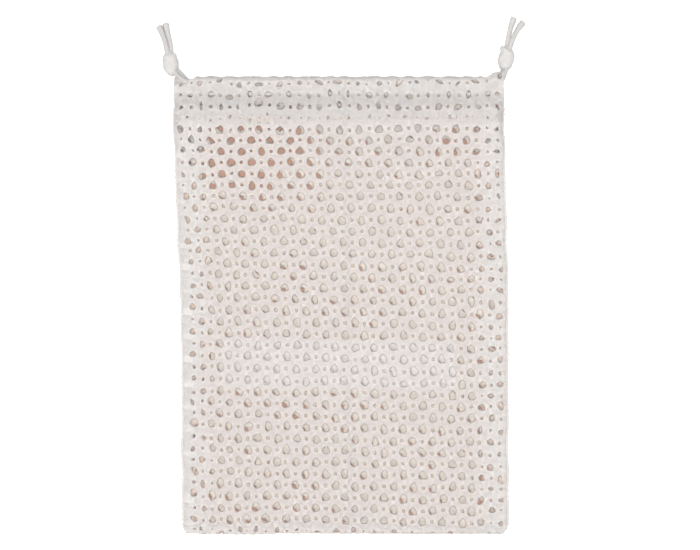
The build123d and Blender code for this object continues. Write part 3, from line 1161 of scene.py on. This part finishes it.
CASING_COLUMN = 14  # the last column in the casings, each side of their middle
BACK_PAINTED_LIGHT = 1.36  # painted light: the same yarn made lighter on the back ply than on the front
ALLOWANCE_LEVELS = (1.42 * MM, 2.24 * MM)  # its two plies, over the floor
ALLOWANCE_CELLS = (1, 17)  # columns and rows of net, each way from its middle
ALLOWANCE_PRESSED = 0.78  # their thickness against the net's
ALLOWANCE_CURL = 0.35 * MM
OVERLOCK_IN = 1.9 * MM  # its middle, from the allowance's inner edge
OVERLOCK_REACH = 2.2 * MM
OVERLOCK_LEVEL = 1.95 * MM
THREAD_SIDES = 6
HEM_ROW = 2.4 * MM  # from the hem's middle to a row of stitches
HEM_ZIGZAG = 1.9 * MM  # and to the turns of the zigzag
LABEL_STEP = 0.75 * MM  # from one point of its mesh to the next
LABEL_LEVEL = 0.34 * MM  # its middle over the floor
LABEL_HALF = 0.10 * MM  # half its thickness
LABEL_HEM = (2.6 * MM, 0.07 * MM)  # the turned hem's width, and what it adds to that
MARGIN = 1.5 * MM  # from the label's edge to its stitches
STITCH_LEVELS = (0.2 * MM, 0.62 * MM)
LABEL_THREAD = 0.18 * MM


def half_window(side, last, edge):
    """Columns from the middle to the last one on a side, and where their outer edge ends."""
    if side == "left":
        return (-last, 0), (-edge, None)
    return (1, last), (None, edge)


def net_piece(name, net, finish, node, window, rests_on, seed, side=None):
    """Net laid on the bag's shape."""
    columns, rows, ends = window
    piece = solid(name, net.weave(columns, rows, ends, opening_sizes, cloth, seed), finish)
    stands_for(piece, node, side)
    counts = (columns[1] - columns[0] + 1, rows[1] - rows[0] + 1)
    [count * pitch for count, pitch in zip(counts, net.pitch)]


class BAG_OT_net(bpy.types.Operator):
    """Front, back and bottom of the bag in one run of net, made in halves"""

    bl_idname = "produce_bag.net"
    bl_label = "Net"

    def execute(self, context):
        settings = context.scene.bag_net
        nets = {part: Net(settings, part) for part in ("front", "back")}
        yarn = {"front": tuple(settings.yarn)}
        # painted light: the back ply's copy of the yarn is lighter
        yarn["back"] = shade(yarn["front"], BACK_PAINTED_LIGHT)
        finish = {p: net_finish(f"{p}_net_cotton", yarn[p], table_tint=TABLE_LIGHT[p]) for p in nets}
        fold = SECTION.starts["bottom"]
        runs = (("back", "bottom", fold, 40), ("front", "front_fold", None, 80))
        for side in SIDES:
            columns, ends = half_window(side, LAST_COLUMN, CLOTH_EDGE)
            for part, after, stop, seed in runs:
                window = (columns, nets[part].rows(part, after), (*ends, None, stop))
                name, under = f"{part}_net_{side}", "floor" if part == "back" else f"back_net_{side}"
                seed += SIDES[side]
                net_piece(name, nets[part], finish[part], f"{part}_panel", window, under, seed, side)
        columns, net = (-LAST_COLUMN, LAST_COLUMN), nets["front"]
        window = (columns, net.rows("bottom", "front"), (-CLOTH_EDGE, CLOTH_EDGE, fold, None))
        net_piece("bottom_net_fold", net, finish["front"], "bottom_fold", window, "floor", 60)
        return {"FINISHED"}


class BAG_OT_casings(bpy.types.Operator):
    """The turned-in top of the front and the back, sewn down as casings for the cords"""

    bl_idname = "produce_bag.casings"
    bl_label = "Casings"

    def execute(self, context):
        settings = context.scene.bag_net
        finish = net_finish("casing_net_cotton", tuple(settings.yarn), CASING_BOUNCE_TINT)
        folded = {
            "back": ("back_turning", "back", (0.0, None)),
            "front": ("front_fold", "end", (None, SECTION.starts["end"])),
        }
        for side in SIDES:
            columns, ends = half_window(side, CASING_COLUMN, CASING_EDGE)
            for part, (start, after, stops) in folded.items():
                net = Net(settings, part)
                window = (columns, net.rows(start, after), (*ends, *stops))
                name, node, under = f"{part}_casing_{side}", f"{part}_casing_turning", f"{part}_net_{side}"
                net_piece(name, net, finish, node, window, under, 120 + SIDES[side], side)
        return {"FINISHED"}


class BAG_OT_seams(bpy.types.Operator):
    """Side seams: a rolled edge outside, two plies of allowance inside, and overlock thread"""

    bl_idname = "produce_bag.seams"
    bl_label = "Side seams"

    def execute(self, context):
        net = Net(context.scene.bag_net)
        sewing = context.scene.bag_sewing
        cotton = net_finish("seam_net_cotton", tuple(context.scene.bag_net.yarn))
        thread = thread_finish(tuple(sewing.thread_colour))
        y = np.arange(BOTTOM + 3.4 * MM, SEAM_END, 0.45 * MM)
        for side, way in SIDES.items():
            x = way * (NET_EDGE + 0.2 * MM) + 0 * y
            line = np.stack([x + outward_lean(x, y), y, (front_level(y) + BACK_LEVEL) / 2], 1)
            edge = solid(f"{side}_rolled_seam", tube(line, ROLL, 14, self.rolled), cotton)
            stands_for(edge, f"{side}_side_seam", side)
            self.allowance(net, side, cotton)
            overlock = solid(f"{side}_overlock_thread", self.overlock(sewing, way), thread)
            stands_for(overlock, f"{side}_seam_stitching", side)
        return {"FINISHED"}

    @staticmethod
    def rolled(angle, run):
        """A rolled edge's radius: one soft lump to each loop of the net."""
        return ROLL * (1 + 0.16 * np.cos(2 * math.pi * run / (ROW_PITCH / 2)) * np.ones_like(angle))

    @staticmethod
    def half_shut(centre, large):
        """Every cell's opening at half its size."""
        return np.full((len(centre), 2), 0.5)

    def allowance(self, net, side, finish):
        low, high = ALLOWANCE_LOW, ALLOWANCE_HIGH
        middle_x, middle_y = SIDES[side] * (low[0] + high[0]) / 2, (low[1] + high[1]) / 2
        half_y = (high[1] - low[1]) / 2
        columns, rows = ((-count, count) for count in ALLOWANCE_CELLS)
        half_x, middle = (columns[1] + 0.5) * net.pitch[0], net.origin[1]
        ends = (-half_x, half_x, middle - half_y, middle + half_y)
        squeeze = (high[0] - low[0]) / (2 * half_x)
        parts = []
        for ply, level in enumerate(ALLOWANCE_LEVELS):

            def place(u, s, h):
                y = middle_y + s - middle
                x = middle_x + u * squeeze + outward_lean(middle_x, y)
                curl = ALLOWANCE_CURL * (1 + ripple(x, y, 22 * MM, 30 + ply)) * ply
                return np.stack([x, y, level + ALLOWANCE_PRESSED * h + curl], -1)

            parts.append(net.weave(columns, rows, ends, self.half_shut, place, 150 + ply))
        piece = solid(f"{side}_allowance", joined(parts), finish)
        stands_for(piece, f"{side}_seam_allowance", side)

    @staticmethod
    def overlock(sewing, way):
        """A thread that loops along the allowance's inner edge."""
        loops = int((ALLOWANCE_HIGH[1] - ALLOWANCE_LOW[1] - 4 * MM) / sewing.overlock)
        turn = np.arange(0, loops * 2 * math.pi, 2 * math.pi / 11)
        y = ALLOWANCE_LOW[1] + 2 * MM + turn * sewing.overlock / (2 * math.pi)
        inner = way * (ALLOWANCE_LOW[0] + OVERLOCK_IN) + outward_lean(way * ALLOWANCE_LOW[0], y)
        x = inner + OVERLOCK_REACH * np.cos(turn) * (1 + 0.12 * ripple(y, 0 * y, 7 * MM, 9))
        line = np.stack([x, y + 0.5 * MM * np.sin(turn), OVERLOCK_LEVEL + 1.0 * MM * np.sin(turn)], 1)
        return tube(line, sewing.thread / 2, THREAD_SIDES)


def lockstitch(line, stitch, low, high):
    """A thread line that dips under and over the cloth at each stitch, between two levels."""
    line, along = evenly(line, stitch / 7)
    wave = np.clip(np.sin(along * math.pi / stitch) * 2.2, -1, 1)
    line[:, 2] = (low + high) / 2 + wave * (high - low) / 2
    return line


class BAG_OT_hems(bpy.types.Operator):
    """The stitches that hold the casings down, in two rows with a zigzag between"""

    bl_idname = "produce_bag.hems"
    bl_label = "Hem stitches"

    def execute(self, context):
        sewing = context.scene.bag_sewing
        finish = thread_finish(tuple(sewing.thread_colour))
        radius = sewing.thread / 2
        surfaces = {
            "back": (0.02 * MM + radius, BACK_LEVEL + 1.4 * PLY + radius * 0.6),
            "front": (OUTER_LEVEL - 1.4 * PLY - radius * 0.6, OUTER_LEVEL + PLY / 2 + radius * 0.3),
        }
        for side, way in SIDES.items():
            start = 0.4 * MM if way > 0 else 0.0
            x = np.arange(start, CASING_EDGE - 1.5 * MM, 0.4 * MM) * way
            zigzag = HEM_ZIGZAG * np.clip(np.sin(x * math.pi / sewing.stitch) * 1.3, -1, 1)
            for part, (low, high) in surfaces.items():
                rows = [self.row(x, off) for off in (-HEM_ROW, HEM_ROW)]
                threads = [lockstitch(row, sewing.stitch, low, high) for row in rows]
                level = high - radius * 0.3 if part == "front" else low
                threads.append(self.row(x, zigzag) + (0, 0, level))
                made = joined([tube(line, radius, THREAD_SIDES) for line in threads])
                piece = solid(f"{part}_hem_thread_{side}", made, finish)
                stands_for(piece, f"{part}_hem_stitching", side)
        return {"FINISHED"}

    @staticmethod
    def row(x, off):
        """A line along the hem, that far up from its middle."""
        y = hem_line(x) + off
        return np.stack([x + outward_lean(x, y), y, 0 * x], 1)


class BAG_OT_label(bpy.types.Operator):
    """The blank cotton label on the outside of the back, and its stitches"""

    bl_idname = "produce_bag.label"
    bl_label = "Label"

    def execute(self, context):
        sewing = context.scene.bag_sewing
        patch = solid("label", self.tape(), label_finish(tuple(sewing.label_colour)))
        stands_for(patch, "label_patch")
        left, low = (LABEL_LOW[k] + MARGIN for k in (0, 1))
        right, high = (LABEL_HIGH[k] - MARGIN for k in (0, 1))
        corners = [(left, low), (right, low), (right, high), (left, high), (left, low + 0.8 * MM)]
        line = np.array([(x, y, 0.0) for x, y in corners])
        made = tube(lockstitch(line, sewing.stitch, *STITCH_LEVELS), LABEL_THREAD, THREAD_SIDES)
        thread = solid("label_thread", made, thread_finish(tuple(sewing.thread_colour)))
        stands_for(thread, "label_stitching")
        return {"FINISHED"}

    @staticmethod
    def tape():
        """Points and faces of a thin cloth with a turned hem, a little puckered."""
        low, high = LABEL_LOW, LABEL_HIGH
        spans = [np.linspace(low[k], high[k], int((high[k] - low[k]) / LABEL_STEP)) for k in (0, 1)]
        x, y = (m.ravel() for m in np.meshgrid(*spans, indexing="ij"))
        inset = np.minimum(np.minimum(x - low[0], high[0] - x), np.minimum(y - low[1], high[1] - y))
        middle = LABEL_LEVEL + 0.04 * MM * ripple(x, y, 9 * MM, 21)
        thick = LABEL_HALF + LABEL_HEM[1] * falling(inset, LABEL_HEM[0], 0.6 * MM)
        thick = thick * np.sqrt(np.clip(inset / (0.3 * MM), 0.05, 1))
        top = np.stack([x, y, middle + thick], 1)
        under = np.stack([x, y, np.maximum(middle - thick, 0.06 * MM)], 1)
        ids = np.arange(len(x)).reshape(len(spans[0]), len(spans[1]))
        quads = np.stack([ids[:-1, :-1], ids[1:, :-1], ids[1:, 1:], ids[:-1, 1:]], -1).reshape(-1, 4)
        rim = np.concatenate([ids[:, 0], ids[-1, 1:], ids[-2::-1, -1], ids[0, -2::-1]])
        near, far = rim[:-1], rim[1:]
        wall = np.stack([near, near + len(x), far + len(x), far], 1)
        return np.concatenate([top, under]), np.concatenate([quads, quads[:, ::-1] + len(x), wall])


OPERATORS = (
    BAG_OT_stage,
    BAG_OT_cords,
    BAG_OT_net,
    BAG_OT_casings,
    BAG_OT_seams,
    BAG_OT_hems,
    BAG_OT_label,
)


class BAG_PT_panel(bpy.types.Panel):
    """The bag's settings, with a button for each step."""

    bl_idname = "BAG_PT_panel"
    bl_label = "Mesh produce bag"
    bl_space_type = "VIEW_3D"
    bl_region_type = "UI"
    bl_category = "Bag"

    def draw(self, context):
        for group in reversed(SETTINGS):
            settings = getattr(context.scene, group)
            column = self.layout.column(align=True)
            for name in settings.bl_rna.properties.keys():
                if name not in ("rna_type", "name"):
                    column.prop(settings, name)
        for operator in OPERATORS:
            self.layout.operator(operator.bl_idname)


CLASSES = (*SETTINGS.values(), *OPERATORS, BAG_PT_panel)


def register():
    for made in CLASSES:
        bpy.utils.register_class(made)
    for name, group in SETTINGS.items():
        setattr(bpy.types.Scene, name, bpy.props.PointerProperty(type=group))


def unregister():
    for name in SETTINGS:
        delattr(bpy.types.Scene, name)
    for made in reversed(CLASSES):
        bpy.utils.unregister_class(made)


def main():
    register()
    for operator in OPERATORS:
        group, name = operator.bl_idname.split(".")
        getattr(getattr(bpy.ops, group), name)()


if __name__ == "__main__":
    main()
